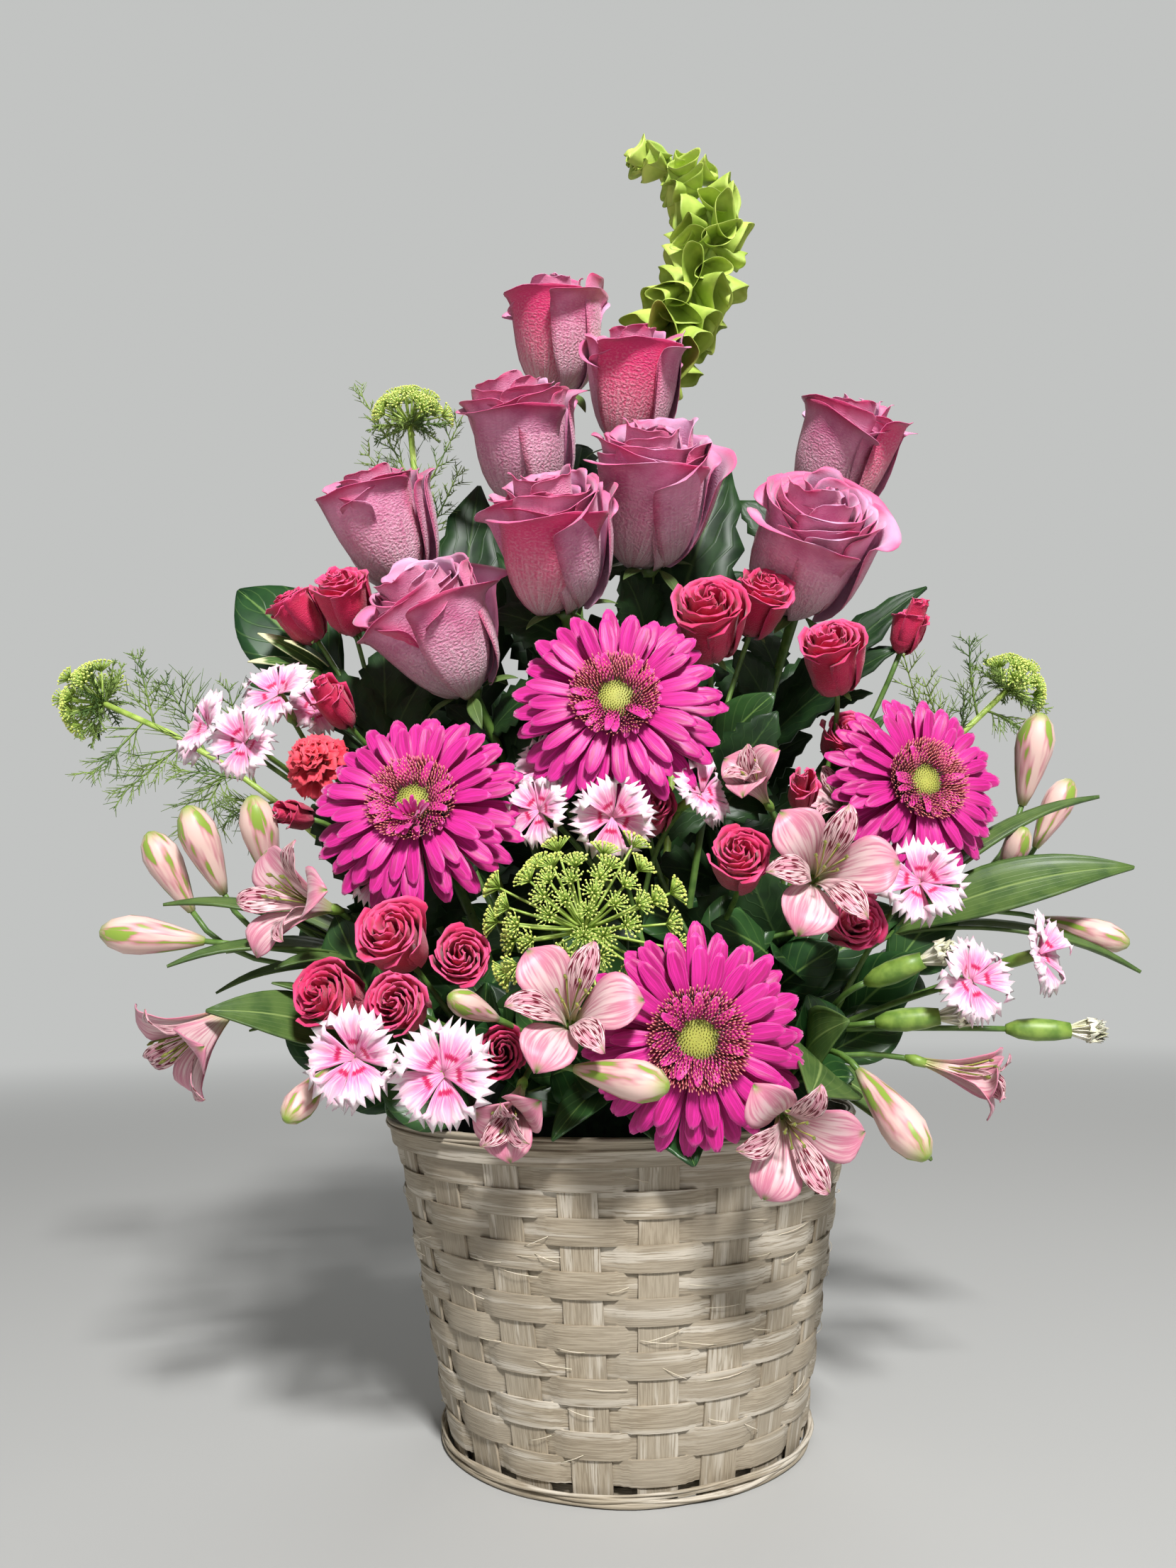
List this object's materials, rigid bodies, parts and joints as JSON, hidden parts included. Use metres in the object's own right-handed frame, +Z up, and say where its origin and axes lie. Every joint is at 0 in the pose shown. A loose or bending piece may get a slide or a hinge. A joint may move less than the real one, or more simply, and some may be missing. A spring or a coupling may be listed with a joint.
{
  "type": "flower basket arrangement",
  "caption": "Fan-shaped arrangement of cut roses, daisies and lilies in a round woven splint basket that stands on its flat foot.",
  "frame": {"origin": "middle of the basket's foot, on the surface it stands on", "axes": "+Z up; the front of the arrangement looks along -Y, with +X to the right as seen from the front"},
  "size_m": [0.562, 0.3112, 0.7334],
  "materials": {
    "whitewashed_splint": "rough splint with a thin white wash",
    "liner_plastic": "semi-gloss",
    "floral_foam": "wet matte foam",
    "lavender_petals": "velvety petals with hot pink edges",
    "magenta_rays": "satin ribbed petals",
    "daisy_disc": "rough florets round a green eye",
    "crimson_petals": "velvety petals",
    "fringed_petals": "matte petals with a white edge",
    "lily_petals": "silky petals with dark streaks",
    "lime_greens": "satin",
    "green_stems": "satin",
    "dark_leaves": "waxy"
  },
  "bodies": {
    "root": {"rose_1_bloom": "lavender_petals", "rose_1_stem": "green_stems", "rose_2_bloom": "lavender_petals", "rose_2_stem": "green_stems", "rose_3_bloom": "lavender_petals", "rose_3_stem": "green_stems", "rose_4_bloom": "lavender_petals", "rose_4_stem": "green_stems", "rose_5_bloom": "lavender_petals", "rose_5_stem": "green_stems", "rose_6_bloom": "lavender_petals", "rose_6_stem": "green_stems", "rose_7_bloom": "lavender_petals", "rose_7_stem": "green_stems", "rose_8_bloom": "lavender_petals", "rose_8_stem": "green_stems", "rose_9_bloom": "lavender_petals", "rose_9_stem": "green_stems", "gerbera_1_rays": "magenta_rays", "gerbera_1_disc": "daisy_disc", "gerbera_1_stem": "green_stems", "gerbera_2_rays": "magenta_rays", "gerbera_2_disc": "daisy_disc", "gerbera_2_stem": "green_stems", "gerbera_3_rays": "magenta_rays", "gerbera_3_disc": "daisy_disc", "gerbera_3_stem": "green_stems", "gerbera_4_rays": "magenta_rays", "gerbera_4_disc": "daisy_disc", "gerbera_4_stem": "green_stems", "spray_roses_left": "crimson_petals", "spray_roses_right": "crimson_petals", "spray_roses_far_right": "crimson_petals", "spray_roses_middle": "crimson_petals", "spray_roses_low": "crimson_petals", "carnation": "crimson_petals", "pinks_left": "fringed_petals", "pinks_middle": "fringed_petals", "pinks_right": "fringed_petals", "pinks_low": "fringed_petals", "lilies_left": "lily_petals", "lilies_far_left": "lily_petals", "lilies_middle": "lily_petals", "lilies_low": "lily_petals", "lilies_right": "lily_petals", "lilies_far_right": "lily_petals", "umbel_middle": "lime_greens", "umbel_upper_left": "lime_greens", "umbel_far_left": "lime_greens", "umbel_right": "lime_greens", "bells_of_ireland": "lime_greens", "broad_leaf_front": "dark_leaves", "round_leaf_left": "dark_leaves", "back_greens": "dark_leaves", "basket_wall": "whitewashed_splint", "basket_base": "whitewashed_splint", "foot_hoop": "whitewashed_splint", "rim_hoop": "whitewashed_splint", "liner": "liner_plastic", "foam": "floral_foam"}
  },
  "joints": []
}
